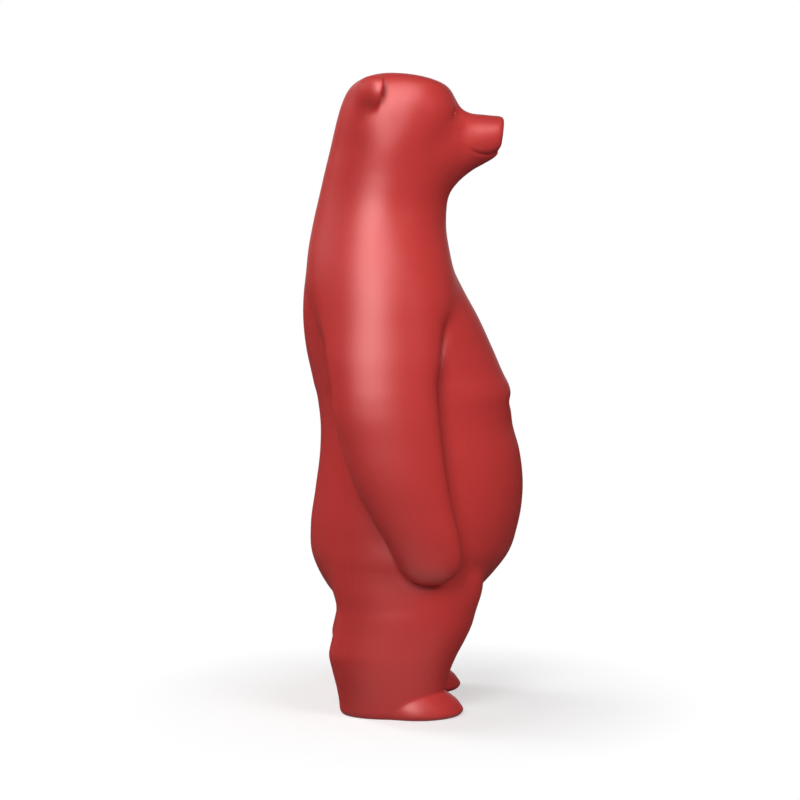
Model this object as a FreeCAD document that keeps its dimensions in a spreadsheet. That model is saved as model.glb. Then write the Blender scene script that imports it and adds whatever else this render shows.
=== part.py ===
import FreeCAD, Part
import Sketcher

import math
import os

from FreeCAD import Placement, Rotation, Vector

# A standing bear in soft vinyl: six hollow castings joined at the neck, the shoulders and
# the hips, with a steel slug in each foot behind a round bung.
# +X is forwards, +Y is the bear's left, +Z is up, and the soles stand on Z = 0.

DOC = FreeCAD.newDocument("standing_bear")
SHEET = DOC.addObject("Spreadsheet::Sheet", "Sizes")
X, Y, Z = Vector(1, 0, 0), Vector(0, 1, 0), Vector(0, 0, 1)
SIDES = (("left", 1), ("right", -1))
OVAL_POINTS = 16
# The level and the upright axis of a sketch; the level one starts at the sketch's origin.
LEVEL_AXIS_ID, UPRIGHT_AXIS_ID = -1, -2
# An oval that is thinned by a wall keeps at least this share of its own half axes.
LEAST_SHARE = 0.3

# Single sizes, in mm.
SIZES = {
    "wall": (2.8, "thickness of the vinyl"),
    "fit": (0.15, "gap between a plug and its hole, and between two cast faces"),
    "leg_spread": (54.0, "centre of one leg to the centre of the other"),
    "hip_lap": (22.0, "how far the top of a leg reaches up past the bottom of the trunk"),
    "hip_plug_radius": (10.0, "hip plug"),
    "hip_plug_spread": (46.0, "middle of one hip plug to the middle of the other"),
    "hip_plug_centre": (-4.0, "hip plug ahead of the middle of the body"),
    "shoulder_plug_radius": (11.0, "shoulder plug"),
    "shoulder_plug_centre": (-14.0, "shoulder plug ahead of the middle of the body"),
    "shoulder_plug_drop": (28.0, "shoulder plug below the top of the arm"),
    "plug_slope_room": (4.0, "extra length of a plug where the wall slopes away from it"),
    "arm_top_drop": (25.0, "top of the arm below the neck seam"),
    "lip_reach": (1.4, "how far a plug's lip stands out past its hole"),
    "lip_depth": (4.5, "how deep a plug's lip is behind the wall"),
    "collar_height": (9.0, "neck collar above the seam"),
    "collar_root": (5.0, "neck collar below the seam"),
    "bead_reach": (1.0, "how far the collar's bead stands into the groove of the head"),
    "bead_height": (2.4, "height of the collar's bead"),
    "bead_rise": (4.0, "collar's bead above the seam"),
    "ear_rise": (53.0, "middle of the ear above the neck seam"),
    "ear_spread": (54.0, "middle of one ear to the middle of the other"),
    "ear_centre": (-18.5, "middle of the ear ahead of the middle of the body"),
    "ear_length": (21.0, "ear front to back, before its front is cut off"),
    "ear_width": (21.0, "ear side to side"),
    "ear_height": (18.4, "ear top to bottom"),
    "ear_front": (3.2, "cut front of the ear ahead of its middle"),
    "ear_rim": (1.9, "thickness of the ear's rim"),
    "sole_thickness": (4.6, "floor of the foot"),
    "bung_centre": (-9.0, "bung ahead of the middle of the body"),
    "bung_radius": (11.0, "hole that the bung closes"),
    "bung_flange_width": (2.2, "flange of the bung outside its hole"),
    "bung_flange_thickness": (1.6, "flange of the bung"),
    "bung_inset": (0.6, "face of the bung above the floor"),
    "bung_bead": (0.7, "how far the bung's bead stands past its hole"),
    "bung_bead_height": (2.0, "height of the bung's bead"),
    "bung_floor": (2.0, "top wall of the bung"),
    "slug_radius": (10.2, "ballast slug"),
    "slug_height": (22.0, "ballast slug"),
    "slug_chamfer": (1.0, "edges of the ballast slug"),
    "slug_bore_radius": (2.5, "lifting hole of the ballast slug"),
}

# Level ovals of the trunk and head, from the crotch up to the crown:
# rise from the oval below, centre ahead of the middle, depth front to back, width.
TRUNK = (
    ("crotch", 0.0, -3.0, 50.0, 64.0),
    ("seat", 6.0, -4.0, 66.0, 78.0),
    ("hip", 6.0, -3.5, 76.0, 86.0),
    ("groin", 7.0, -2.2, 86.5, 90.0),
    ("haunch", 7.0, -1.3, 93.6, 91.0),
    ("rump", 14.0, 0.7, 99.0, 91.0),
    ("belly", 17.0, 3.0, 99.1, 89.5),
    ("paunch", 19.0, 3.3, 95.0, 87.5),
    ("waist", 14.0, 1.6, 90.6, 85.5),
    ("fold", 6.5, 0.6, 90.1, 84.5),
    ("chest_lip", 6.5, 0.1, 91.8, 84.0),
    ("breast", 9.0, -2.4, 91.3, 84.0),
    ("chest", 12.0, -6.3, 88.5, 84.6),
    ("armpit", 15.0, -10.6, 83.2, 85.0),
    ("shoulder", 13.0, -13.8, 75.6, 82.4),
    ("collar", 12.0, -15.8, 68.1, 77.0),
    ("nape", 13.0, -16.2, 63.2, 70.6),
    ("neck", 14.0, -14.7, 61.2, 65.2),
    ("throat", 14.0, -11.9, 60.7, 64.0),
    ("cheek", 15.0, -9.3, 58.6, 64.6),
    ("temple", 12.0, -7.5, 56.2, 62.8),
    ("brow", 8.0, -5.5, 54.2, 59.2),
    ("forehead", 5.0, -5.1, 49.3, 54.4),
    ("upper_head", 3.5, -6.2, 41.6, 47.6),
    ("top_head", 2.5, -8.8, 29.5, 38.6),
    ("crown", 2.0, -12.0, 16.0, 26.0),
    ("crown_tip", 1.0, -13.8, 5.5, 12.0),
)

# Level ovals of the arm, from inside the shoulder down to the paw: drop from the oval above,
# centre ahead of the middle, depth, how proud of the trunk's side, thickness side to side.
ARM = (
    ("root", 0.0, -16.0, 44.0, -0.6, 20.0),
    ("yoke", 7.0, -15.5, 50.0, 4.2, 24.0),
    ("deltoid", 11.0, -15.0, 56.0, 9.0, 28.0),
    ("upper", 13.0, -14.2, 57.0, 13.5, 29.0),
    ("swell", 13.0, -13.8, 52.5, 18.0, 28.0),
    ("biceps", 12.0, -13.5, 48.2, 21.2, 26.5),
    ("elbow", 12.0, -12.5, 47.8, 22.4, 25.0),
    ("forearm", 14.0, -10.0, 45.8, 22.0, 23.5),
    ("lower", 18.0, -5.8, 42.4, 20.3, 21.5),
    ("wrist", 14.0, -0.9, 38.4, 17.8, 19.8),
    ("palm", 12.0, 4.0, 33.6, 15.2, 17.6),
    ("paw", 10.0, 7.0, 28.0, 12.6, 14.0),
    ("fingers", 6.5, 7.5, 20.0, 10.3, 10.0),
    ("paw_end", 3.5, 7.0, 12.0, 8.4, 6.0),
    ("paw_tip", 1.3, 6.8, 5.0, 6.8, 2.6),
)

# Level ovals of the foot and leg, from the sole up to the leg's top inside the trunk:
# rise from the oval below, centre ahead of the middle, depth, width.
LEG = (
    ("sole", 0.0, -5.75, 53.5, 34.0),
    ("toes", 2.2, -5.25, 56.3, 36.5),
    ("instep", 3.3, -6.4, 55.6, 37.2),
    ("arch", 3.5, -8.5, 53.0, 37.6),
    ("ankle", 3.5, -10.15, 51.3, 38.4),
    ("shin", 8.5, -10.2, 56.8, 40.8),
    ("calf", 7.0, -9.5, 60.2, 42.0),
    ("knee", 7.0, -6.8, 62.2, 42.6),
    ("thigh", 7.0, -4.8, 63.6, 43.0),
    ("upper_thigh", 7.0, -3.6, 65.2, 43.4),
    ("ham", 8.0, -2.3, 67.5, 43.0),
    ("hip_end", 7.0, -2.0, 62.0, 36.0),
    ("hip_tip", 4.0, -2.0, 40.0, 22.0),
)

# Upright ovals of the muzzle, from inside the head to the nose:
# advance from the oval behind, middle above the neck seam, height, width.
MUZZLE = (
    ("inner", 6.0, 25.0, 44.0, 46.0),
    ("jaw", 8.0, 27.5, 41.0, 42.0),
    ("bridge", 5.0, 28.8, 37.5, 37.0),
    ("stop", 4.0, 29.8, 32.5, 32.0),
    ("lips", 5.0, 31.0, 26.4, 28.5),
    ("snout", 5.0, 32.1, 22.6, 26.5),
    ("nose", 5.0, 33.2, 19.2, 24.5),
    ("nostrils", 3.0, 34.4, 14.8, 21.0),
    ("nose_end", 1.6, 35.5, 10.0, 15.0),
    ("nose_tip", 0.6, 35.8, 6.0, 9.0),
)

TABLES = (
    ("trunk", TRUNK, ("rise", "centre", "depth", "width")),
    ("arm", ARM, ("drop", "centre", "depth", "proud", "thick")),
    ("leg", LEG, ("rise", "centre", "depth", "width")),
    ("muzzle", MUZZLE, ("advance", "middle", "height", "width")),
)


def fill_sheet():
    """One row for each single size, then one row for each oval."""
    row = 1
    for alias, (number, note) in SIZES.items():
        SHEET.set(f"A{row}", note)
        SHEET.set(f"B{row}", str(number))
        SHEET.setAlias(f"B{row}", alias)
        row += 1
    for table, ovals, columns in TABLES:
        for name, *numbers in ovals:
            SHEET.set(f"A{row}", f"{table} {name}")
            for column, word, number in zip("BCDEF", columns, numbers):
                SHEET.set(f"{column}{row}", str(number))
                SHEET.setAlias(f"{column}{row}", f"{table}_{name}_{word}")
            row += 1
    DOC.recompute()


def size(alias):
    return float(SHEET.get(alias))


def rows(table):
    """The ovals of a table as dictionaries, with the sheet's numbers."""
    ovals, columns = next((o, c) for t, o, c in TABLES if t == table)
    return [
        {word: size(f"{table}_{name}_{word}") for word in columns} | {"name": name}
        for name, *_ in ovals
    ]


def oval_curve(centre, along, across):
    """A smooth closed curve around centre, with half axes along and across."""
    turns = [2 * math.pi * i / OVAL_POINTS for i in range(OVAL_POINTS)]
    points = [centre + along * math.cos(t) + across * math.sin(t) for t in turns]
    curve = Part.BSplineCurve()
    curve.interpolate(Points=points, Parameters=turns + [2 * math.pi], PeriodicFlag=True)
    return curve


def skin(name, stations, offset):
    """A solid whose smooth side runs through ovals and whose two ends are flat.
    A station is (place along the solid, its direction, centre, half axis, half axis). The side
    moves outwards by offset, or inwards where it is negative, and each end moves as far."""
    first, last = stations[0][0], stations[-1][0]
    rings, steps, before = [], [], None
    for place, direction, centre, along, across in stations:
        if before:
            climb, flare, spread = (centre - before[0]).Length, along - before[1], across - before[2]
            steps.append(steps[-1] + math.hypot(climb, max(flare.Length, spread.Length)))
        else:
            steps.append(0.0)
        before = (centre, along, across)
        halves = [half * max(1 + offset / half.Length, LEAST_SHARE) for half in (along, across)]
        end = 2 * (place - first) / (last - first) - 1
        rings.append(oval_curve(centre + direction * (offset * end), *halves))
    columns = []
    for poles in zip(*[ring.getPoles() for ring in rings]):
        column = Part.BSplineCurve()
        column.interpolate(Points=list(poles), Parameters=steps)
        columns.append(column)
    ring, column = rings[0], columns[0]
    side = Part.BSplineSurface()
    side.buildFromPolesMultsKnots(
        [each.getPoles() for each in columns],
        ring.getMultiplicities(),
        column.getMultiplicities(),
        ring.getKnots(),
        column.getKnots(),
        True,
        False,
        ring.Degree,
        column.Degree,
    )
    face = side.toShape()
    ends = [Part.Face(Part.Wire([edge])) for edge in face.Edges if edge.Closed]
    shell = Part.Shell([face, *ends])
    shell.sewShape()
    made = DOC.addObject("Part::Feature", name)
    made.Shape = Part.Solid(shell)
    return made


def boolean(kind, name, *objects):
    """A Cut of two objects, or a MultiFuse or MultiCommon of several."""
    made = DOC.addObject(f"Part::{kind}", name)
    if kind == "Cut":
        made.Base, made.Tool = objects
    else:
        made.Shapes = list(objects)
    return made


def cylinder(name, radius, low, high, turn=Rotation()):
    """A cylinder between two points on its axis, with its radius bound to an expression."""
    made = DOC.addObject("Part::Cylinder", name)
    made.setExpression("Radius", radius)
    made.Height = (high - low).Length
    made.Placement = Placement(low, Rotation(Z, high - low))
    return made


def slab(name, low, high):
    """A level box, wider than the bear, that keeps what lies between two heights."""
    reach = trunk_heights()[-1][0]
    made = DOC.addObject("Part::Box", name)
    made.Length = made.Width = 2 * reach
    made.Height = high - low
    made.Placement.Base = Vector(-reach, -reach, low)
    return made


# ---------------------------------------------------------------- where things are


def leg_height():
    return sum(row["rise"] for row in rows("leg"))


def trunk_heights():
    """The trunk's ovals with their heights: each a (height, row)."""
    height, found = leg_height() - size("hip_lap"), []
    for row in rows("trunk"):
        height += row["rise"]
        found.append((height, row))
    return found


def neck_level():
    return next(height for height, row in trunk_heights() if row["name"] == "neck")


def trunk_side(level):
    """Half width of the trunk at a height, on straight lines between its ovals."""
    heights = trunk_heights()
    for (low, below), (high, above) in zip(heights, heights[1:]):
        if level <= high:
            share = (level - low) / (high - low)
            return (below["width"] + share * (above["width"] - below["width"])) / 2
    return 0.0


def level_stations(heights_and_rows, side_centre=0.0):
    return [
        (height, Z, Vector(row["centre"], side_centre, height), X * (row["depth"] / 2), Y * (row["width"] / 2))
        for height, row in heights_and_rows
    ]


def stacked(table):
    """Heights of a table's ovals, stacked upwards from the floor."""
    height, found = 0.0, []
    for row in rows(table):
        height += row["rise"]
        found.append((height, row))
    return found


def trunk_skin(name, offset):
    return skin(name, level_stations(trunk_heights()), offset)


def arm_skin(name, sign, offset):
    """The arm hangs from the shoulder, and each oval stands proud of the trunk's side."""
    level, stations = neck_level() - size("arm_top_drop"), []
    for row in rows("arm"):
        level -= row["drop"]
        side = trunk_side(level) + row["proud"] - row["thick"] / 2
        centre = Vector(row["centre"], sign * side, level)
        stations.append((level, Z, centre, X * (row["depth"] / 2), Y * (row["thick"] / 2)))
    return skin(name, stations[::-1], offset)


def muzzle_skin(name, offset):
    """The muzzle grows forwards out of the head."""
    advance, stations = 0.0, []
    for row in rows("muzzle"):
        advance += row["advance"]
        centre = Vector(advance, 0, neck_level() + row["middle"])
        stations.append((advance, X, centre, Z * (row["height"] / 2), Y * (row["width"] / 2)))
    return skin(name, stations, offset)


# ---------------------------------------------------------------- head and trunk


def ear(side, sign):
    """A rounded cup that opens forwards."""
    name = f"{side}_ear"
    middle = Vector(size("ear_centre"), sign * size("ear_spread") / 2, neck_level() + size("ear_rise"))
    lump = DOC.addObject("Part::Ellipsoid", f"{name}_lump")
    lump.setExpression("Radius1", "Sizes.ear_height / 2")
    lump.setExpression("Radius2", "Sizes.ear_length / 2")
    lump.setExpression("Radius3", "Sizes.ear_width / 2")
    lump.Placement.Base = middle
    dish = DOC.addObject("Part::Ellipsoid", f"{name}_dish")
    dish.setExpression("Radius1", "Sizes.ear_height / 2 - Sizes.ear_rim")
    dish.setExpression("Radius2", "Sizes.ear_length / 2 - 2 * Sizes.ear_rim")
    dish.setExpression("Radius3", "Sizes.ear_width / 2 - Sizes.ear_rim")
    dish.Placement.Base = middle + X * size("ear_front")
    front = DOC.addObject("Part::Box", f"{name}_front")
    front.setExpression("Length", "Sizes.ear_length")
    front.setExpression("Width", "2 * Sizes.ear_width")
    front.setExpression("Height", "2 * Sizes.ear_height")
    front.Placement.Base = middle + Vector(size("ear_front"), -size("ear_width"), -size("ear_height"))
    closed = boolean("Cut", f"{name}_closed", lump, front)
    return boolean("Cut", name, closed, dish)


def head(outer, hollow):
    """Skull, muzzle and ears in one hollow casting, open at the neck."""
    seam, top = neck_level(), 2 * neck_level()
    skull = boolean("MultiCommon", "skull", outer, slab("above_seam", seam, top))
    lumps = [ear(side, sign) for side, sign in SIDES]
    full = boolean("MultiFuse", "head_full", skull, muzzle_skin("muzzle_skin", 0.0), *lumps)
    low = seam + size("bead_rise") - size("fit")
    high = seam + size("bead_rise") + size("bead_height") + size("fit")
    groove_skin = trunk_skin("groove_skin", size("bead_reach") - size("wall"))
    groove = boolean("MultiCommon", "head_groove", groove_skin, slab("groove_span", low, high))
    muzzle_room = muzzle_skin("muzzle_room", -size("wall"))
    room = boolean("MultiFuse", "head_room", hollow, muzzle_room, groove)
    return boolean("Cut", "head", full, room)


def torso(outer, hollow):
    """The hollow body with its neck collar, and a hole for each limb's plug."""
    seam, wall, fit = neck_level(), size("wall"), size("fit")
    root = seam - size("collar_root")
    body = boolean("MultiCommon", "body_full", outer, slab("below_seam", 0.0, seam))
    collar_skin = trunk_skin("collar_skin", -wall - fit)
    collar_span = slab("collar_span", root, seam + size("collar_height"))
    collar = boolean("MultiCommon", "collar", collar_skin, collar_span)
    bead_low = seam + size("bead_rise")
    bead_skin = trunk_skin("bead_skin", size("bead_reach") - wall - fit)
    bead_span = slab("bead_span", bead_low, bead_low + size("bead_height"))
    bead = boolean("MultiCommon", "bead", bead_skin, bead_span)
    full = boolean("MultiFuse", "torso_full", body, collar, bead)
    low_room = boolean("MultiCommon", "low_room", hollow, slab("below_collar", 0.0, root))
    bore = trunk_skin("collar_bore", -2 * wall - fit)
    holes = []
    for side, sign in SIDES:
        inner, outer_end = shoulder_ends(sign)
        holes.append(
            cylinder(f"{side}_shoulder_hole", "Sizes.shoulder_plug_radius + Sizes.fit", inner, outer_end)
        )
        low, high = hip_ends(sign)
        holes.append(cylinder(f"{side}_hip_hole", "Sizes.hip_plug_radius + Sizes.fit", low, high))
    return boolean("Cut", "torso", full, boolean("MultiFuse", "torso_room", low_room, bore, *holes))


# ---------------------------------------------------------------- limbs


def plug_reach():
    """How far a plug goes in past the outside of the trunk."""
    return size("wall") + size("fit") + size("lip_depth") + size("plug_slope_room")


def shoulder_ends(sign):
    """Inner and outer end of a shoulder plug's axis: the outer one is in the hollow of the arm."""
    level = neck_level() - size("arm_top_drop") - size("shoulder_plug_drop")
    side = trunk_side(level)
    inner = Vector(size("shoulder_plug_centre"), sign * (side - plug_reach()), level)
    outer = Vector(size("shoulder_plug_centre"), sign * (side + 2 * size("wall")), level)
    return inner, outer


def hip_ends(sign):
    """Lower and upper end of a hip plug's axis: the lower one is in the hollow of the leg."""
    base = leg_height() - size("hip_lap")
    side = sign * size("hip_plug_spread") / 2
    low = Vector(size("hip_plug_centre"), side, base - 2 * size("wall"))
    high = Vector(size("hip_plug_centre"), side, base + plug_reach())
    return low, high


def limb(name, full, room, plug, trunks, inside, outside):
    """A hollow limb cut to lie on the trunk, with a lipped plug that snaps through its wall.
    The plug's axis runs from inside the trunk to outside, in the hollow of the limb."""
    trunk_face, trunk_room, lip_room = trunks
    seat = boolean("Cut", f"{name}_seat", full, trunk_face)
    stem = cylinder(f"{name}_stem", f"Sizes.{plug}_radius", inside, outside)
    lip_disc = cylinder(f"{name}_lip_disc", f"Sizes.{plug}_radius + Sizes.lip_reach", inside, outside)
    lip = boolean("MultiCommon", f"{name}_lip", lip_disc, lip_room)
    solid = boolean("MultiFuse", f"{name}_solid", seat, stem, lip)
    DOC.recompute([room])
    hollow = DOC.addObject("Part::Feature", f"{name}_hollow")
    hollow.Shape = room.Shape.cut(trunk_room.Shape)
    past = (inside - outside).normalize() * size("wall")
    bore = cylinder(f"{name}_bore", f"Sizes.{plug}_radius - Sizes.wall", inside + past, outside)
    return boolean("Cut", name, boolean("Cut", f"{name}_bored", solid, bore), hollow)


def arm(side, sign, trunks):
    name = f"{side}_arm"
    full = arm_skin(f"{name}_skin", sign, 0.0)
    room = arm_skin(f"{name}_inner_skin", sign, -size("wall"))
    inner, outer = shoulder_ends(sign)
    return limb(name, full, room, "shoulder_plug", trunks, inner, outer)


def leg_skin(name, sign, offset):
    return skin(name, level_stations(stacked("leg"), sign * size("leg_spread") / 2), offset)


def leg(side, sign, trunks):
    """The leg, with a stepped hole in its sole for the bung."""
    name = f"{side}_leg"
    base = Vector(size("bung_centre"), sign * size("leg_spread") / 2, 0.0)
    ledge = base + Z * (size("bung_inset") + size("bung_flange_thickness"))
    hole_top = base + Z * (2 * size("sole_thickness"))
    hole = cylinder(f"{name}_sole_hole", "Sizes.bung_radius", base, hole_top)
    step = cylinder(f"{name}_sole_step", "Sizes.bung_radius + Sizes.bung_flange_width", base, ledge)
    drill = boolean("MultiFuse", f"{name}_sole_drill", hole, step)
    full = boolean("Cut", f"{name}_drilled", leg_skin(f"{name}_skin", sign, 0.0), drill)
    inner = leg_skin(f"{name}_inner_skin", sign, -size("wall"))
    above = slab(f"{name}_above_sole", size("sole_thickness"), neck_level())
    room = boolean("MultiCommon", f"{name}_inside", inner, above)
    low, high = hip_ends(sign)
    return limb(name, full, room, "hip_plug", trunks, high, low)


# ---------------------------------------------------------------- bungs and slugs


def turned(name, corners, place):
    """A body turned about its own upright axis from a closed outline.
    Each corner is (radius, height), as expressions, with None for a corner on that axis."""
    body = DOC.addObject("PartDesign::Body", name)
    plane = next(part for part in body.Origin.OriginFeatures if part.Role == "XZ_Plane")
    outline = body.newObject("Sketcher::SketchObject", f"{name}_outline")
    outline.AttachmentSupport = [(plane, "")]
    outline.MapMode = "FlatFace"
    starts = [Vector(worth(radius), worth(height), 0) for radius, height in corners]
    for start, end in zip(starts, starts[1:] + starts[:1]):
        outline.addGeometry(Part.LineSegment(start, end), False)
    for i in range(len(corners)):
        after = (i + 1) % len(corners)
        outline.addConstraint(Sketcher.Constraint("Coincident", i, 2, after, 1))
    for i, (radius, height) in enumerate(corners):
        bind(outline, "DistanceX", i, radius, starts[i].x, UPRIGHT_AXIS_ID)
        bind(outline, "DistanceY", i, height, starts[i].y, LEVEL_AXIS_ID)
    solid = body.newObject("PartDesign::Revolution", f"{name}_turned")
    solid.Profile = outline
    solid.ReferenceAxis = (outline, ["V_Axis"])
    body.Tip = solid
    body.Placement = Placement(place, Rotation())
    return body


def worth(expression):
    """The number that an expression on the sheet comes to, or zero for a corner on the axis."""
    return float(SHEET.evalExpression(expression)) if expression else 0.0


def bind(outline, kind, corner, expression, number, axis):
    """Hold one corner at a distance from the sketch's origin, or on the axis itself."""
    if not expression:
        outline.addConstraint(Sketcher.Constraint("PointOnObject", corner, 1, axis))
        return
    index = outline.addConstraint(Sketcher.Constraint(kind, LEVEL_AXIS_ID, 1, corner, 1, number))
    outline.setExpression(f"Constraints[{index}]", expression)


def bung(side, sign):
    """A soft round bung: a flange under the sole, and a bead that snaps over its inner face."""
    flange_radius = "Sizes.bung_radius + Sizes.bung_flange_width - Sizes.fit"
    shank_radius = "Sizes.bung_radius - Sizes.fit"
    bead_radius = "Sizes.bung_radius + Sizes.bung_bead"
    cup_radius = "Sizes.bung_radius - Sizes.fit - Sizes.wall"
    flange_top = "Sizes.bung_flange_thickness"
    bead_low = "Sizes.sole_thickness + Sizes.fit - Sizes.bung_inset"
    bead_middle = f"{bead_low} + Sizes.bung_bead_height / 2"
    top = f"{bead_low} + Sizes.bung_bead_height"
    corners = (
        (cup_radius, None),
        (flange_radius, None),
        (flange_radius, flange_top),
        (shank_radius, flange_top),
        (shank_radius, bead_low),
        (bead_radius, bead_low),
        (bead_radius, bead_middle),
        (shank_radius, top),
        (None, top),
        (None, f"{top} - Sizes.bung_floor"),
        (cup_radius, f"{top} - Sizes.bung_floor"),
    )
    place = Vector(size("bung_centre"), sign * size("leg_spread") / 2, size("bung_inset"))
    return turned(f"{side}_sole_bung", corners, place)


def slug(side, sign):
    """A round steel slug with a lifting hole, which stands on the bung inside the foot."""
    edge = "Sizes.slug_radius - Sizes.slug_chamfer"
    corners = (
        ("Sizes.slug_bore_radius", None),
        (edge, None),
        ("Sizes.slug_radius", "Sizes.slug_chamfer"),
        ("Sizes.slug_radius", "Sizes.slug_height - Sizes.slug_chamfer"),
        (edge, "Sizes.slug_height"),
        ("Sizes.slug_bore_radius", "Sizes.slug_height"),
    )
    bung_top = size("sole_thickness") + size("fit") + size("bung_bead_height")
    place = Vector(size("bung_centre"), sign * size("leg_spread") / 2, bung_top)
    return turned(f"{side}_ballast_slug", corners, place)


# ---------------------------------------------------------------- the whole figure


def build():
    fill_sheet()
    wall, fit = size("wall"), size("fit")
    outer = trunk_skin("trunk_outer", 0.0)
    hollow = trunk_skin("trunk_hollow", -wall)
    limb_face = trunk_skin("limb_face", fit)
    limb_room = trunk_skin("limb_room", fit + wall)
    lip_room = trunk_skin("lip_room", -wall - fit)
    trunks = (limb_face, limb_room, lip_room)
    pieces = [head(outer, hollow), torso(outer, hollow)]
    for side, sign in SIDES:
        pieces += [arm(side, sign, trunks), leg(side, sign, trunks), bung(side, sign), slug(side, sign)]
    return pieces


def check(pieces):
    """Stop before anything is written if a feature or a piece went wrong."""
    for made in DOC.Objects:
        if {"Invalid", "Error"} & set(made.State):
            raise RuntimeError(f"{made.Name} did not build: {made.State}")
    for piece in pieces:
        if piece.Shape.isNull() or not piece.Shape.isValid():
            raise RuntimeError(f"{piece.Name} has no valid shape")
        if len(piece.Shape.Solids) != 1:
            raise RuntimeError(f"{piece.Name} is {len(piece.Shape.Solids)} solids, not one")


def export(pieces):
    os.makedirs("parts", exist_ok=True)
    for piece in pieces:
        piece.Shape.exportStep(f"parts/{piece.Name}.step")


PIECES = build()
DOC.recompute()
check(PIECES)
export(PIECES)
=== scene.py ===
import math

import bmesh
import bpy
import numpy as np
from bpy.props import FloatProperty, FloatVectorProperty, PointerProperty
from bpy.types import Operator, Panel, PropertyGroup
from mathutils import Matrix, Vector


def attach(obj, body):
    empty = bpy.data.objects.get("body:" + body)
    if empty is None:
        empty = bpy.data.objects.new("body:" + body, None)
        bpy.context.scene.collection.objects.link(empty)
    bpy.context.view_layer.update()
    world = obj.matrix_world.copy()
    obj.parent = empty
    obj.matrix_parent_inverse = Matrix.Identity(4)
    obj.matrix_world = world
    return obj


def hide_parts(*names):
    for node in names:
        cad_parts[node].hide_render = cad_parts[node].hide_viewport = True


bl_info = {
    "name": "Standing bear statuette",
    "version": (1, 0, 0),
    "blender": (4, 5, 0),
    "location": "View3D > Sidebar > Bear",
    "description": "Sculpts the vinyl castings of a standing bear around its packed frame",
    "category": "Object",
}

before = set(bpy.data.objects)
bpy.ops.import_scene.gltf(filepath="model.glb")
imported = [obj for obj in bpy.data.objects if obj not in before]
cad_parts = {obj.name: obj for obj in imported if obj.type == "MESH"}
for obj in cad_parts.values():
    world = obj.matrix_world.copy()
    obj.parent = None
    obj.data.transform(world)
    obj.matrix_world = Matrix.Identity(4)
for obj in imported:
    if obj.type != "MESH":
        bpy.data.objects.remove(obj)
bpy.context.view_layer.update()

# Sizes are in millimetres here, and the meshes are made in metres.
MM = 0.001
FLOOR = 0.0
SEAM = 237.0
LEG_SPREAD = 54.0
TOE_SPREAD = 55.5

# Level ovals of the trunk and head: height, centre ahead of the middle, depth, width.
TRUNK = (
    (52.0, -4.0, 66.0, 74.0),
    (58.0, -3.8, 75.4, 82.0),
    (65.0, -2.7, 85.5, 88.5),
    (72.0, -1.4, 93.4, 92.5),
    (86.0, 0.7, 99.0, 93.5),
    (103.0, 3.0, 99.1, 91.0),
    (122.0, 3.3, 95.0, 87.8),
    (135.0, 1.7, 91.4, 85.5),
    (143.0, 1.0, 91.6, 84.4),
    (149.0, 0.5, 92.6, 84.0),
    (153.0, -0.6, 92.6, 84.0),
    (158.0, -2.4, 91.2, 84.0),
    (170.0, -6.3, 88.5, 85.6),
    (185.0, -10.5, 83.1, 87.6),
    (198.0, -13.8, 75.6, 87.0),
    (210.0, -15.8, 68.1, 83.0),
    (223.0, -16.2, 63.2, 75.0),
    (237.0, -14.7, 61.2, 66.4),
    (251.0, -11.9, 60.7, 64.0),
    (266.0, -9.3, 58.6, 64.6),
    (278.0, -7.2, 57.6, 63.6),
    (285.0, -6.5, 56.6, 63.2),
    (291.0, -6.3, 55.4, 62.4),
    (302.0, -6.3, 55.0, 62.0),
)
CROWN_START, CROWN_RISE = 266.0, 36.0
# The top of the head is highest here and falls away ahead of it and behind it.
CROWN_PEAK = (-11.0, 300.0)
CROWN_FALL_AHEAD, CROWN_FALL_BEHIND = 0.0074, 0.016
SEAT_START, SEAT_DROP = 58.0, 12.0

# Level ovals of the arm: height, centre, depth, how proud of the trunk's side, thickness.
ARM = (
    (64.0, 8.0, 27.0, 11.5, 16.0),
    (76.0, 7.0, 30.5, 13.2, 16.6),
    (86.0, 4.0, 34.2, 15.4, 18.0),
    (98.0, -0.9, 38.4, 17.8, 19.8),
    (112.0, -5.8, 42.4, 20.3, 21.5),
    (130.0, -10.0, 45.8, 21.6, 23.5),
    (144.0, -12.5, 47.8, 21.8, 25.0),
    (156.0, -13.5, 48.2, 20.1, 26.5),
    (168.0, -13.8, 52.0, 16.8, 30.0),
    (181.0, -13.9, 55.0, 12.2, 36.0),
    (194.0, -14.2, 58.0, 8.0, 45.0),
    (204.0, -14.8, 60.0, 4.8, 52.0),
    (214.0, -15.4, 60.0, 1.9, 55.0),
    (228.0, -16.0, 57.0, -1.4, 54.0),
)
SHOULDER_START, SHOULDER_RISE = 196.0, 44.0
PAW_START, PAW_DROP = 82.0, 17.3

# Level ovals of the leg: height, centre, depth, width.
LEG = (
    (0.0, -10.6, 45.8, 30.5),
    (1.5, -10.8, 46.8, 32.0),
    (6.0, -10.6, 48.4, 34.2),
    (12.5, -10.4, 51.2, 37.0),
    (21.0, -10.2, 55.8, 40.4),
    (28.0, -9.4, 60.2, 42.4),
    (35.0, -6.9, 62.6, 42.8),
    (42.0, -4.5, 64.2, 42.8),
    (49.0, -3.0, 65.2, 42.6),
    (57.0, -1.9, 68.2, 41.0),
    (70.0, -0.2, 71.6, 36.0),
)
HIP_START, HIP_RISE = 52.0, 28.0

# Level ovals of the forefoot: height, centre, depth, width.
FOREFOOT = (
    (0.0, 2.2, 40.8, 35.0),
    (2.0, 2.8, 41.8, 37.0),
    (4.0, 2.2, 40.8, 36.4),
    (6.5, 1.2, 39.0, 34.4),
    (9.0, -0.4, 35.8, 31.6),
    (12.0, -2.4, 31.8, 27.6),
    (18.0, -6.0, 25.0, 20.0),
)
INSTEP_START, INSTEP_RISE = 9.0, 7.0

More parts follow.
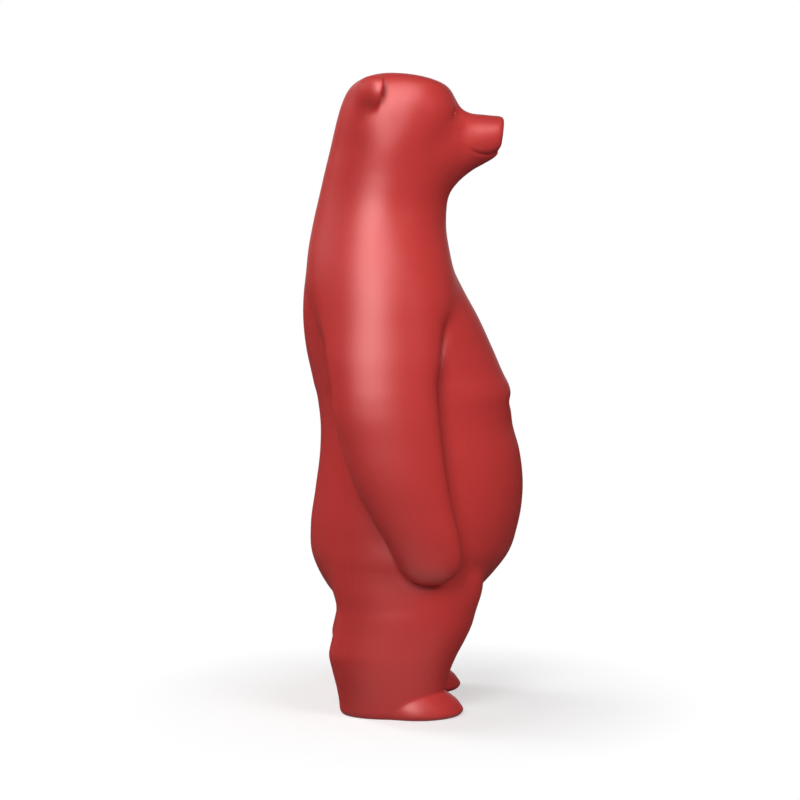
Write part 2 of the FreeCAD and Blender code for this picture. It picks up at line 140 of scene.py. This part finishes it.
# Upright ovals of the muzzle: place along X, middle height, height, width.
MUZZLE = (
    (6.0, 262.0, 44.0, 46.0),
    (14.0, 264.5, 41.0, 42.0),
    (19.0, 265.8, 37.5, 37.0),
    (23.0, 266.5, 32.0, 32.0),
    (28.0, 267.5, 27.0, 29.0),
    (33.0, 268.5, 24.0, 27.0),
    (38.0, 269.6, 20.8, 25.0),
    (44.0, 270.8, 17.8, 23.0),
)
NOSE_TOP = (42.8, 276.0)
NOSE_SLANT = 0.13

# Middles of the left ear and the left eye, and the cosine and sine of the eye's lean.
EAR = (-17.2, 26.2, 290.2)
EYE = (19.5, 17.0, 281.6)
EYE_UPRIGHT, EYE_BACK = 0.94, 0.34

FINE_STEP = 0.25
# Cell of the grid that the skin is found on, and how many of them a rough cell spans.
CELL = 0.85
COARSE = 4
# Corners of the box that the grid fills.
GRID_LOW, GRID_HIGH = (-56.0, -70.0, -2.0), (56.0, 70.0, 303.0)
PIECES = ("torso", "left_arm", "right_arm", "left_leg", "right_leg", "head")


# ---------------------------------------------------------------- forms


def smooth_rows(rows):
    """The table's columns as smooth curves of its first column, at a fine step."""
    knots = np.array([row[0] for row in rows])
    places = np.arange(knots[0], knots[-1] + FINE_STEP, FINE_STEP)
    spans = np.clip(np.searchsorted(knots, places, "right") - 1, 0, len(knots) - 2)
    width = knots[spans + 1] - knots[spans]
    t = np.clip((places - knots[spans]) / width, 0, 1)
    columns = []
    for column in range(1, len(rows[0])):
        values = np.array([row[column] for row in rows])
        slopes = np.gradient(values, knots)
        low, high = values[spans], values[spans + 1]
        columns.append(
            low * (2 * t**3 - 3 * t**2 + 1)
            + high * (3 * t**2 - 2 * t**3)
            + slopes[spans] * width * (t**3 - 2 * t**2 + t)
            + slopes[spans + 1] * width * (t**3 - t**2)
        )
    return places, columns


CURVES = {
    "trunk": smooth_rows(TRUNK),
    "arm": smooth_rows(ARM),
    "leg": smooth_rows(LEG),
    "forefoot": smooth_rows(FOREFOOT),
    "muzzle": smooth_rows(MUZZLE),
}


def at(table, place):
    """Every column of a table at those places, held at the table's ends."""
    places, columns = CURVES[table]
    return [np.interp(place, places, column) for column in columns]


def reach(*parts):
    """Signed distance to an oval or ellipsoid, from pairs of (offset, half axis)."""
    share = np.sqrt(sum((offset / half) ** 2 for offset, half in parts)) + 1e-6
    steep = np.sqrt(sum((offset / half**2) ** 2 for offset, half in parts)) + 1e-6
    return (share - 1) * share / steep


def domed(across, along, *ends, fullness=2.8, squareness=2.0):
    """Signed distance to a column of ovals that closes in full domes at its ends.
    across and along are (offset, half axis), and an end is (how far past its start, rise).
    A fullness of 2 gives an ellipsoid's end, and more gives a squarer one. The squareness
    does the same for the ovals."""
    wide, deep = np.abs(across[0] / across[1]), np.abs(along[0] / along[1])
    flat = (wide**squareness + deep**squareness) ** (1 / squareness) + 1e-6
    steep = np.hypot(
        wide ** (squareness - 1) / across[1], deep ** (squareness - 1) / along[1]
    ) / flat ** (squareness - 1)
    rises = [(np.maximum(past, 0) / rise, rise) for past, rise in ends]
    share = (flat**fullness + sum(part**fullness for part, _ in rises)) ** (1 / fullness)
    power = fullness - 1
    rate = (steep * (flat / share) ** power) ** 2
    rate = rate + sum(((part / share) ** power / rise) ** 2 for part, rise in rises)
    return (share - 1) / np.sqrt(rate + 1e-9)


def melt(one, other, width):
    """Smooth union: the two forms flow into each other over that width."""
    near = np.clip(1 - np.abs(one - other) / width, 0, 1)
    return np.minimum(one, other) - near**3 * width / 6


def carve(form, tool, width):
    """Smooth cut: what is inside the tool is taken off the form."""
    return -melt(-form, tool, width)


def ramp(low, high, value):
    """0 up to low, 1 from high on, and smooth between. Low may be the larger of the two."""
    t = np.clip((value - low) / (high - low), 0, 1)
    return t * t * (3 - 2 * t)


def bump(value, middle, width):
    """1 at the middle, and falling away smoothly on both sides of it."""
    return np.exp(-(((value - middle) / width) ** 2))


def trunk(x, y, z):
    """The body and the head without its muzzle and ears, as one upright column."""
    centre, depth, width = at("trunk", z)
    column = domed(
        (x - centre, depth / 2),
        (y, width / 2),
        (z - CROWN_START, CROWN_RISE),
        (SEAT_START - z, SEAT_DROP),
        fullness=3.2,
        squareness=2 + 0.6 * ramp(262, 286, z),
    )
    ahead = np.clip(x - CROWN_PEAK[0], -30, 40)
    fall = np.where(ahead > 0, CROWN_FALL_AHEAD, CROWN_FALL_BEHIND)
    crown = CROWN_PEAK[1] - fall * ahead**2
    return np.where(z > SEAM, carve(column, crown - z, 5.0), column)


def arm(x, y, z):
    """The left arm, which lies along the side of the trunk."""
    centre, depth, proud, thick = at("arm", z)
    side = at("trunk", z)[2] / 2 + proud - thick / 2
    return domed(
        (x - centre, depth / 2),
        (y - side, thick / 2),
        (z - SHOULDER_START, SHOULDER_RISE),
        (PAW_START - z, PAW_DROP),
    )


def standing(table, spread, start, rise, x, y, z):
    """A form that stands on the floor, with a domed top."""
    centre, depth, width = at(table, z)
    form = domed((x - centre, depth / 2), (y - spread / 2, width / 2), (z - start, rise))
    return carve(form, z - FLOOR, 1.2)


def leg(x, y, z):
    """The left leg with its foot."""
    shank = standing("leg", LEG_SPREAD, HIP_START, HIP_RISE, x, y, z)
    toes = standing("forefoot", TOE_SPREAD, INSTEP_START, INSTEP_RISE, x, y, z)
    return melt(shank, toes, 1.6)


def muzzle(x, y, z):
    """The muzzle, cut off at a slant where the nose is."""
    middle, height, width = at("muzzle", x)
    form = domed((z - middle, height / 2), (y, width / 2), (MUZZLE[0][0] - x, 8.0))
    front = NOSE_TOP[0] - NOSE_SLANT * (NOSE_TOP[1] - z) - x
    return carve(form, front, 5.0)


def mouth_height(x):
    """Height of the mouth's line along the muzzle."""
    past = np.clip(x, 23, 45) - 35.0
    return 262.0 + np.where(past < 0, 0.033, 0.075) * past**2


def ear(x, y, z):
    """The left ear: a leaning shell with a slanted front and a dish in it."""
    lean = 0.3 * (x - EAR[0])
    shell = reach((x - EAR[0], 8.4), (y - EAR[1] - lean, 8.6), (z - EAR[2], 8.0))
    shell = carve(shell, -15.2 + 0.3 * (z - 290) + 0.22 * (y - 30) - x, 2.0)
    dish = reach((x + 13.4, 4.4), (y - 26.4, 5.4), (z - 290.4, 5.4))
    return carve(shell, dish, 1.0)


def eye(x, y, z):
    """The left eye: a narrow slit that leans back under the brow."""
    across = EYE_UPRIGHT * (x - EYE[0]) - EYE_BACK * (z - EYE[2])
    along = EYE_BACK * (x - EYE[0]) + EYE_UPRIGHT * (z - EYE[2])
    return reach((across, 1.15), (along, 3.4), (y - EYE[1], 5.1))


def whole(x, y, z):
    """Signed distance to the whole bear, the same on both sides of its middle."""
    y = np.abs(y)
    # The muzzle runs softly into the face, and with a firmer edge under the brow.
    brow = ramp(274, 281, z) * ramp(5, 12, y)
    body = melt(trunk(x, y, z), muzzle(x, y, z), 7.5 + 1.0 * ramp(268, 276, z) - 6.5 * brow)
    body = carve(body, eye(x, y, z), 1.0)
    body = melt(body, ear(x, y, z), 11.0 - 7.0 * ramp(-25, -15, x))
    # The legs' fillets are wide at the seat and the sides, and firm between the legs.
    behind = np.maximum(ramp(22, 42, y), 1 - ramp(-32, -16, x)) * (1 - ramp(8, 24, x))
    ahead = ramp(8, 20, y) * ramp(8, 24, x)
    body = melt(body, leg(x, y, z), 2.2 + 14.0 * behind + 3.0 * ahead)
    # The arm flows into the shoulder, and lies in a crease where it comes free below it.
    limb = arm(x, y, z)
    level = z - 0.225 * (x + 13)
    free = 1 - ramp(166, 190, level)
    depth = 1.0 + 1.7 * bump(level, 167.0, 13.0)
    crease = depth * free * np.exp(-(limb**2 + body**2) / 2.6**2)
    body = melt(body, limb, 1.8 + 15.0 * (1 - free)) + crease
    # A shallow fold crosses the chest's front, and the mouth is a line under the upper lip.
    fold = 1.0 * bump(z, 145.0, 3.4) * ramp(40, 47.5, x) * (1 - ramp(4, 17, y))
    line = z - mouth_height(x)
    strength = ramp(22.0, 34.0, x) * (1 - 0.55 * ramp(39.0, 42.0, x))
    lips = strength * (0.75 * bump(line, 0.0, 0.9) + 0.7 * ramp(0.7, -0.9, line))
    return body + fold + lips * (z > SEAM + 10) * (z < SEAM + 45)


# ---------------------------------------------------------------- castings


def nearest(x, y, z):
    """Distances to the trunk, the arm and the leg, and their order from the nearest on."""
    away = np.abs(y)
    parts = np.stack((trunk(x, away, z), arm(x, away, z), leg(x, away, z)))
    return parts, np.argsort(parts, axis=0)


def owners(points):
    """The casting that each point of the skin belongs to."""
    x, y, z = points.T
    _, order = nearest(x, y, z)
    side = np.where(y > 0, 0, 1)
    owner = np.choose(order[0], (np.zeros_like(side), 1 + side, 3 + side))
    return np.where(z > SEAM, PIECES.index("head"), owner)


def slope(form, points, step=0.3):
    """Direction in which a form grows fastest at each point, and how fast."""
    rise = np.empty_like(points)
    for n in range(3):
        shift = np.eye(3)[n] * step
        rise[:, n] = form(*(points + shift).T) - form(*(points - shift).T)
    rate = np.maximum(np.linalg.norm(rise, axis=1), 1e-4)
    return rise / rate[:, None], rate / (2 * step)


def settle(form, points, limit):
    """Move points onto a form's surface, by no more than the limit."""
    way, rate = slope(form, points)
    return points - way * np.clip(form(*points.T) / rate, -limit, limit)[:, None]


def grid_values(low, high):
    """The bear's form on a grid, worked out only near its surface."""
    counts = [math.ceil((b - a) / (COARSE * CELL)) for a, b in zip(low, high)]
    rough = [a + (np.arange(n) + 0.5) * COARSE * CELL for a, n in zip(low, counts)]
    value = whole(*np.meshgrid(*rough, indexing="ij"))
    for n in range(3):
        value = np.repeat(value, COARSE, axis=n)
    axes = [a + (np.arange(n * COARSE) + 0.5) * CELL for a, n in zip(low, counts)]
    spots = np.nonzero(np.abs(value) < 1.6 * COARSE * CELL)
    value[spots] = whole(*[axis[spot] for axis, spot in zip(axes, spots)])
    return axes, value


def skin_cells(low, high):
    """A point for each cell that the surface crosses, and a face around each crossed edge."""
    axes, value = grid_values(low, high)
    inside = value < 0
    count = np.zeros([n - 1 for n in inside.shape], dtype=np.int8)
    for corner in np.ndindex(2, 2, 2):
        count += inside[tuple(slice(i, i + size) for i, size in zip(corner, count.shape))]
    crossed = (count > 0) & (count < 8)
    index = np.full(crossed.shape, -1)
    index[crossed] = np.arange(crossed.sum())
    spots = np.argwhere(crossed)
    points = np.stack([axes[n][spots[:, n]] + CELL / 2 for n in range(3)], axis=1)
    faces = []
    for n in range(3):
        turn = ((n, (n + 1) % 3, (n + 2) % 3), (0, 1, 2))
        here = np.moveaxis(inside, *turn)
        cells = np.moveaxis(index, *turn)
        i, j, k = np.nonzero(here[:-1, 1:-1, 1:-1] != here[1:, 1:-1, 1:-1])
        rim = ((0, 0), (1, 0), (1, 1), (0, 1))
        quad = np.stack([cells[i, j + one, k + other] for one, other in rim], axis=1)
        inwards = ~here[i, j + 1, k + 1]
        quad[inwards] = quad[inwards, ::-1]
        faces.append(quad[(quad >= 0).all(axis=1)])
    return points, np.concatenate(faces)


def even_out(points, faces):
    """Each point halfway to the middle of its neighbours."""
    ends = np.concatenate([faces[:, corner] for corner in range(4) for _ in (0, 1)])
    others = np.concatenate(
        [faces[:, (corner + turn) % 4] for corner in range(4) for turn in (1, 3)]
    )
    weight = np.maximum(np.bincount(ends, minlength=len(points)), 1)
    total = np.stack([np.bincount(ends, points[others, n], len(points)) for n in range(3)], axis=1)
    return 0.5 * points + 0.5 * total / weight[:, None]


def seat_on_seams(points):
    """Move points close to a seam between two castings onto it, so that it runs smoothly."""
    parts, order = nearest(*points.T)
    spots = np.arange(len(points))
    gap = parts[order[1], spots] - parts[order[0], spots]
    lower, higher = np.sort(order[:2], axis=0)
    for first, second in ((0, 1), (0, 2), (1, 2)):
        pair = (lower == first) & (higher == second)
        close = pair & (gap < 0.6 * CELL) & (points[:, 2] < SEAM - 2 * CELL)

        def between(x, y, z):
            found, _ = nearest(x, y, z)
            return found[first] - found[second]

        points[close] = settle(between, points[close], CELL)
    close = np.abs(points[:, 2] - SEAM) < 0.5 * CELL
    points[close, 2] = SEAM
    return points


SKIN = {}


def bear_skin():
    """Points, faces, outward directions and owners of the whole skin, worked out once."""
    if not SKIN:
        points, faces = skin_cells(GRID_LOW, GRID_HIGH)
        for _ in range(3):
            points = settle(whole, points, CELL)
        for _ in range(2):
            points = settle(whole, even_out(points, faces), CELL)
        for _ in range(2):
            points = settle(whole, seat_on_seams(points), CELL)
        points[:, 2] = np.maximum(points[:, 2], FLOOR)
        SKIN["points"], SKIN["faces"] = points, faces
        SKIN["way"], _ = slope(whole, points)
        SKIN["owner"] = owners(points[faces].mean(axis=1))
    return SKIN


def cast(node, material):
    """Make the casting that stands for one node, out of its share of the skin."""
    skin = bear_skin()
    faces = skin["faces"][skin["owner"] == PIECES.index(node)]
    used = np.unique(faces)
    order = np.full(len(skin["points"]), -1)
    order[used] = np.arange(len(used))
    bm = bmesh.new()
    corners = [bm.verts.new(Vector(point) * MM) for point in skin["points"][used]]
    for face in order[faces]:
        bm.faces.new([corners[i] for i in face]).smooth = True
    mesh = bpy.data.meshes.new(f"bear_{node}")
    bm.to_mesh(mesh)
    bm.free()
    mesh.normals_split_custom_set_from_vertices([tuple(way) for way in skin["way"][used]])
    mesh.materials.append(material)
    piece = bpy.data.objects.new(f"bear_{node}", mesh)
    bpy.context.scene.collection.objects.link(piece)
    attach(piece, "root")
    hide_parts(node)


# ---------------------------------------------------------------- finishes


# Noise scales of the vinyl: clouds of colour, patches of gloss, the mould's swell and grain.
CLOUDS, PATCHES, SWELL, GRAIN = 28.0, 70.0, 120.0, 2600.0
# Noise scales of the steel: turned rings, stretched along the bar, and the oily film.
RINGS, STRETCH, FILM = 90.0, 30.0, 160.0
# Depths in metres.
SWELL_DEPTH, GRAIN_DEPTH, RING_DEPTH = 0.00004, 0.000012, 0.00002
BUNG_DULLER, BUNG_SHEEN = 0.08, 0.5


class Finish:
    """A new material, its nodes, and short ways to add and join them."""

    def __init__(self, name):
        self.material = bpy.data.materials.new(name)
        self.material.use_nodes = True
        self.nodes = self.material.node_tree.nodes
        self.links = self.material.node_tree.links
        self.shader = self.nodes["Principled BSDF"]
        self.place = self.nodes.new("ShaderNodeTexCoord").outputs["Object"]

    def join(self, source, target):
        self.links.new(source, target)

    def noise(self, scale, detail=2.0, place=None):
        node = self.nodes.new("ShaderNodeTexNoise")
        node.inputs["Scale"].default_value = scale
        node.inputs["Detail"].default_value = detail
        self.join(place or self.place, node.inputs["Vector"])
        return node.outputs["Fac"]

    def between(self, value, low, high, start=0.3, end=0.7):
        node = self.nodes.new("ShaderNodeMapRange")
        node.inputs["From Min"].default_value = start
        node.inputs["From Max"].default_value = end
        node.inputs["To Min"].default_value = low
        node.inputs["To Max"].default_value = high
        self.join(value, node.inputs["Value"])
        return node.outputs["Result"]

    def tone(self, value, dark, light):
        node = self.nodes.new("ShaderNodeMix")
        node.data_type = "RGBA"
        node.inputs["A"].default_value = (*dark, 1)
        node.inputs["B"].default_value = (*light, 1)
        self.join(value, node.inputs["Factor"])
        self.join(node.outputs["Result"], self.shader.inputs["Base Color"])

    def relief(self, value, depth, under=None):
        node = self.nodes.new("ShaderNodeBump")
        node.inputs["Distance"].default_value = depth
        self.join(value, node.inputs["Height"])
        if under is not None:
            self.join(under, node.inputs["Normal"])
        self.join(node.outputs["Normal"], self.shader.inputs["Normal"])
        return node.outputs["Normal"]


def shade(colour, share):
    """That share of a colour."""
    return tuple(channel * share for channel in colour)


def vinyl_finish(name, colour, roughness, sheen):
    """Cast vinyl: faint clouds in the colour, an uneven satin skin and the mould's fine grain."""
    if name in bpy.data.materials:
        return bpy.data.materials[name]
    vinyl = Finish(name)
    clouds = vinyl.between(vinyl.noise(CLOUDS, 3.0), 0.0, 1.0)
    vinyl.tone(clouds, shade(colour, 0.965), shade(colour, 1.03))
    satin = vinyl.between(vinyl.noise(PATCHES, 2.0), roughness - 0.02, roughness + 0.025)
    vinyl.join(satin, vinyl.shader.inputs["Roughness"])
    vinyl.shader.inputs["Specular IOR Level"].default_value = sheen
    swell = vinyl.relief(vinyl.noise(SWELL, 1.0), SWELL_DEPTH)
    vinyl.relief(vinyl.noise(GRAIN, 2.0), GRAIN_DEPTH, swell)
    return vinyl.material


def steel_finish(name, colour):
    """Cut steel bar: turned rings on its ends and sides, with a dull oily film."""
    if name in bpy.data.materials:
        return bpy.data.materials[name]
    steel = Finish(name)
    steel.shader.inputs["Metallic"].default_value = 1.0
    flat = steel.nodes.new("ShaderNodeMapping")
    flat.inputs["Scale"].default_value = (1.0, 1.0, STRETCH)
    steel.join(steel.place, flat.inputs["Vector"])
    turned = steel.noise(RINGS, 4.0, flat.outputs["Vector"])
    film = steel.noise(FILM, 3.0)
    steel.tone(steel.between(film, 0.0, 1.0), shade(colour, 0.82), colour)
    steel.join(steel.between(turned, 0.26, 0.44), steel.shader.inputs["Roughness"])
    steel.relief(turned, RING_DEPTH)
    return steel.material


def dress(node, material):
    """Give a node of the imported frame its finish."""
    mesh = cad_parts[node].data
    mesh.materials.clear()
    mesh.materials.append(material)


# ---------------------------------------------------------------- settings


class BearFinishSettings(PropertyGroup):
    """Colours and sheen of the bear's materials."""

    vinyl_colour: FloatVectorProperty(
        name="Vinyl colour",
        description="Colour that the castings are moulded in",
        subtype="COLOR",
        size=3,
        min=0.0,
        max=1.0,
        default=(0.62, 0.03, 0.026),
    )
    vinyl_roughness: FloatProperty(
        name="Vinyl roughness",
        description="How dull the satin skin of the castings is",
        subtype="FACTOR",
        min=0.05,
        max=1.0,
        default=0.5,
    )
    vinyl_sheen: FloatProperty(
        name="Vinyl sheen",
        description="How strongly the castings mirror a lamp",
        subtype="FACTOR",
        min=0.0,
        max=1.0,
        default=1.0,
    )
    bung_colour: FloatVectorProperty(
        name="Bung colour",
        description="Colour of the plugs in the soles",
        subtype="COLOR",
        size=3,
        min=0.0,
        max=1.0,
        default=(0.5, 0.03, 0.026),
    )
    steel_colour: FloatVectorProperty(
        name="Steel colour",
        description="Colour of the ballast slugs",
        subtype="COLOR",
        size=3,
        min=0.0,
        max=1.0,
        default=(0.55, 0.56, 0.58),
    )


class BearStageSettings(PropertyGroup):
    """Floor, lamps and camera."""

    lamp_strength: FloatProperty(
        name="Lamp strength",
        description="Multiplies every lamp of the stage",
        min=0.0,
        max=10.0,
        default=1.0,
    )
    floor_tone: FloatProperty(
        name="Floor tone",
        description="Share of the lamps' light that the floor throws back",
        subtype="FACTOR",
        min=0.0,
        max=1.0,
        default=0.55,
    )
    floor_glow: FloatProperty(
        name="Floor glow",
        description="White that is added to the floor, so that only a shadow shows on it",
        min=0.0,
        max=1.0,
        default=0.49,
    )
    lens: FloatProperty(
        name="Lens",
        description="Focal length of the camera",
        unit="CAMERA",
        min=10.0,
        max=400.0,
        default=108.7,
    )


# ---------------------------------------------------------------- pieces


def red_vinyl():
    """The castings' vinyl, as the settings give it."""
    finish = bpy.context.scene.bear_finish
    return vinyl_finish(
        "red_vinyl", finish.vinyl_colour, finish.vinyl_roughness, finish.vinyl_sheen
    )


class BEAR_OT_torso(Operator):
    """Sculpt the torso, from the neck's collar to the hips"""

    bl_idname = "bear.torso"
    bl_label = "Torso"

    def execute(self, context):
        cast("torso", red_vinyl())
        return {"FINISHED"}


class BEAR_OT_head(Operator):
    """Sculpt the head with its muzzle, mouth, eyes and ears"""

    bl_idname = "bear.head"
    bl_label = "Head"

    def execute(self, context):
        cast("head", red_vinyl())
        return {"FINISHED"}


class BEAR_OT_arms(Operator):
    """Sculpt both arms, from the shoulders to the paws"""

    bl_idname = "bear.arms"
    bl_label = "Arms"

    def execute(self, context):
        for side in ("left", "right"):
            cast(f"{side}_arm", red_vinyl())
        return {"FINISHED"}


class BEAR_OT_legs(Operator):
    """Sculpt both legs with their feet"""

    bl_idname = "bear.legs"
    bl_label = "Legs"

    def execute(self, context):
        for side in ("left", "right"):
            cast(f"{side}_leg", red_vinyl())
        return {"FINISHED"}


class BEAR_OT_bungs(Operator):
    """Finish the bungs that close the soles"""

    bl_idname = "bear.bungs"
    bl_label = "Sole bungs"

    def execute(self, context):
        finish = context.scene.bear_finish
        dull = finish.vinyl_roughness + BUNG_DULLER
        plug = vinyl_finish("bung_vinyl", finish.bung_colour, dull, BUNG_SHEEN)
        for side in ("left", "right"):
            dress(f"{side}_sole_bung", plug)
        return {"FINISHED"}


class BEAR_OT_slugs(Operator):
    """Finish the steel slugs that weight the feet"""

    bl_idname = "bear.slugs"
    bl_label = "Ballast slugs"

    def execute(self, context):
        steel = steel_finish("steel_slug", context.scene.bear_finish.steel_colour)
        for side in ("left", "right"):
            dress(f"{side}_ballast_slug", steel)
        return {"FINISHED"}


# ---------------------------------------------------------------- stage


# Lamps: name, place, what it shines at, width, height, power, and what it gives:
# a fill leaves no sheen on the skin, and a sheen gives nothing else.
LAMPS = (
    ("key", (-0.22, -0.75, 0.68), (0.0, 0.0, 0.18), 0.35, 0.6, 4.8, "fill"),
    ("right", (0.74, -0.60, 0.70), (0.0, 0.0, 0.15), 0.5, 0.5, 4.5, "fill"),
    ("back", (-0.80, 0.45, 0.65), (0.0, 0.0, 0.15), 0.4, 0.5, 5.6, "fill"),
    ("strip", (-0.34, -1.05, 0.84), (0.0, 0.0, 0.16), 0.85, 1.0, 14.5, "sheen"),
    ("crown", (-0.05, -0.27, 0.74), (0.0, 0.0, 0.28), 0.55, 0.3, 2.5, "sheen"),
)
CAMERA_PLACE = (-0.0061, -1.145, 0.265)
CAMERA_AIM = (-0.0061, 0.0, 0.1454)
SENSOR_WIDTH = 36.0
FLOOR_HALF = 6.0
# The camera sees the floor's shadow within the first distance and plain white past the second.
SHADOW_MIDDLE = (0.0, 0.0, 0.0)
SHADOW_REACH = (0.06, 0.14)
# The skin mirrors a pale patch of floor in front of the feet, and dark floor past it.
MIRROR_MIDDLE = (0.0, -0.11, 0.0)
MIRROR_REACH = (0.055, 0.09)
BOUNCE_TONE = 0.26
MIRRORED_TONE = 0.1
WORLD_DIM = 0.09
# How squarely a mirrored ray has to point at the backdrop before it starts to see its white.
BACKDROP_START = 0.88


def pale_floor(stage):
    """White ground that keeps the bear's shadow and throws little light back."""
    floor = Finish("pale_floor")
    diffuse = floor.shader
    diffuse.inputs["Base Color"].default_value = (stage.floor_tone,) * 3 + (1,)
    diffuse.inputs["Roughness"].default_value = 1.0
    diffuse.inputs["Specular IOR Level"].default_value = 0.0

    def plain(kind, entry, value):
        node = floor.nodes.new(kind)
        node.inputs[entry].default_value = value
        return node.outputs[0]

    def past(middle, reach):
        node = floor.nodes.new("ShaderNodeVectorMath")
        node.operation = "DISTANCE"
        node.inputs[1].default_value = middle
        floor.join(floor.place, node.inputs[0])
        return floor.between(node.outputs["Value"], 0, 1, *reach)

    def layered(share, under, over):
        node = floor.nodes.new("ShaderNodeMixShader")
        floor.join(share, node.inputs[0])
        floor.join(under, node.inputs[1])
        floor.join(over, node.inputs[2])
        return node.outputs[0]

    bounce = plain("ShaderNodeBsdfDiffuse", "Color", (BOUNCE_TONE,) * 3 + (1,))
    dark = plain("ShaderNodeBsdfDiffuse", "Color", (MIRRORED_TONE,) * 3 + (1,))
    glow = plain("ShaderNodeEmission", "Strength", stage.floor_glow)
    white = plain("ShaderNodeEmission", "Strength", 1.0)
    near = floor.nodes.new("ShaderNodeAddShader")
    floor.join(diffuse.outputs[0], near.inputs[0])
    floor.join(glow, near.inputs[1])
    seen = layered(past(SHADOW_MIDDLE, SHADOW_REACH), near.outputs[0], white)
    mirrored = layered(past(MIRROR_MIDDLE, MIRROR_REACH), near.outputs[0], dark)
    ray = floor.nodes.new("ShaderNodeLightPath")
    looks = layered(ray.outputs["Is Glossy Ray"], bounce, mirrored)
    looks = layered(ray.outputs["Is Transmission Ray"], looks, seen)
    looks = layered(ray.outputs["Is Camera Ray"], looks, seen)
    floor.join(looks, floor.nodes["Material Output"].inputs[0])
    return floor.material


def studio_world():
    """A dark studio with a white backdrop behind the bear."""
    world = bpy.data.worlds.new("studio")
    world.use_nodes = True
    nodes, links = world.node_tree.nodes, world.node_tree.links
    dim = nodes["Background"]
    dim.inputs["Color"].default_value = (1, 1, 1, 1)
    dim.inputs["Strength"].default_value = WORLD_DIM
    white = nodes.new("ShaderNodeBackground")
    white.inputs["Color"].default_value = (1, 1, 1, 1)
    white.inputs["Strength"].default_value = 1.0
    way = nodes.new("ShaderNodeSeparateXYZ")
    links.new(nodes.new("ShaderNodeTexCoord").outputs["Generated"], way.inputs[0])
    behind = nodes.new("ShaderNodeMapRange")
    behind.inputs["From Min"].default_value = BACKDROP_START
    behind.inputs["From Max"].default_value = 1.0
    links.new(way.outputs["Y"], behind.inputs["Value"])
    ray = nodes.new("ShaderNodeLightPath")

    def combined(operation, one, other):
        node = nodes.new("ShaderNodeMath")
        node.operation = operation
        links.new(one, node.inputs[0])
        links.new(other, node.inputs[1])
        return node.outputs[0]

    mirrored = combined("MULTIPLY", ray.outputs["Is Glossy Ray"], behind.outputs["Result"])
    shown = combined("MAXIMUM", ray.outputs["Is Camera Ray"], ray.outputs["Is Transmission Ray"])
    mix = nodes.new("ShaderNodeMixShader")
    links.new(combined("MAXIMUM", shown, mirrored), mix.inputs[0])
    links.new(dim.outputs[0], mix.inputs[1])
    links.new(white.outputs[0], mix.inputs[2])
    links.new(mix.outputs[0], nodes["World Output"].inputs[0])
    return world


def turned_to(thing, place, target):
    """Put a lamp or a camera in its place, turned to what it looks at."""
    thing.location = place
    way = Vector(target) - Vector(place)
    thing.rotation_euler = way.to_track_quat("-Z", "Y").to_euler()
    bpy.context.scene.collection.objects.link(thing)


class BEAR_OT_stage(Operator):
    """Lay the floor and set up the world, the lamps and the camera"""

    bl_idname = "bear.stage"
    bl_label = "Stage"

    def execute(self, context):
        scene = context.scene
        stage = scene.bear_stage
        mesh = bpy.data.meshes.new("floor")
        bm = bmesh.new()
        bmesh.ops.create_grid(bm, x_segments=1, y_segments=1, size=FLOOR_HALF)
        bm.to_mesh(mesh)
        bm.free()
        mesh.materials.append(pale_floor(stage))
        floor = bpy.data.objects.new("floor", mesh)
        scene.collection.objects.link(floor)
        scene.world = studio_world()
        for name, place, target, width, height, power, gives in LAMPS:
            lamp = bpy.data.lights.new(name, "AREA")
            lamp.shape = "RECTANGLE"
            lamp.size = width
            lamp.size_y = height
            lamp.energy = power * stage.lamp_strength
            stand = bpy.data.objects.new(name, lamp)
            stand.visible_glossy = gives != "fill"
            stand.visible_diffuse = gives != "sheen"
            turned_to(stand, place, target)
        lens = bpy.data.cameras.new("camera")
        lens.lens = stage.lens
        lens.sensor_width = SENSOR_WIDTH
        camera = bpy.data.objects.new("camera", lens)
        turned_to(camera, CAMERA_PLACE, CAMERA_AIM)
        scene.camera = camera
        scene.view_settings.view_transform = "Standard"
        return {"FINISHED"}


# ---------------------------------------------------------------- add-on


OPERATORS = (
    BEAR_OT_torso,
    BEAR_OT_head,
    BEAR_OT_arms,
    BEAR_OT_legs,
    BEAR_OT_bungs,
    BEAR_OT_slugs,
    BEAR_OT_stage,
)


class BEAR_PT_panel(Panel):
    """The bear's settings and the steps that make it"""

    bl_label = "Standing bear"
    bl_idname = "BEAR_PT_panel"
    bl_space_type = "VIEW_3D"
    bl_region_type = "UI"
    bl_category = "Bear"

    def draw(self, context):
        for settings in (context.scene.bear_finish, context.scene.bear_stage):
            box = self.layout.box()
            for name in settings.__annotations__:
                box.prop(settings, name)
        for step in OPERATORS:
            self.layout.operator(step.bl_idname)


CLASSES = (BearFinishSettings, BearStageSettings, *OPERATORS, BEAR_PT_panel)


def register():
    for item in CLASSES:
        bpy.utils.register_class(item)
    bpy.types.Scene.bear_finish = PointerProperty(type=BearFinishSettings)
    bpy.types.Scene.bear_stage = PointerProperty(type=BearStageSettings)


def unregister():
    del bpy.types.Scene.bear_stage
    del bpy.types.Scene.bear_finish
    for item in reversed(CLASSES):
        bpy.utils.unregister_class(item)


def main():
    register()
    bpy.ops.bear.torso()
    bpy.ops.bear.head()
    bpy.ops.bear.arms()
    bpy.ops.bear.legs()
    bpy.ops.bear.bungs()
    bpy.ops.bear.slugs()
    bpy.ops.bear.stage()


if __name__ == "__main__":
    main()
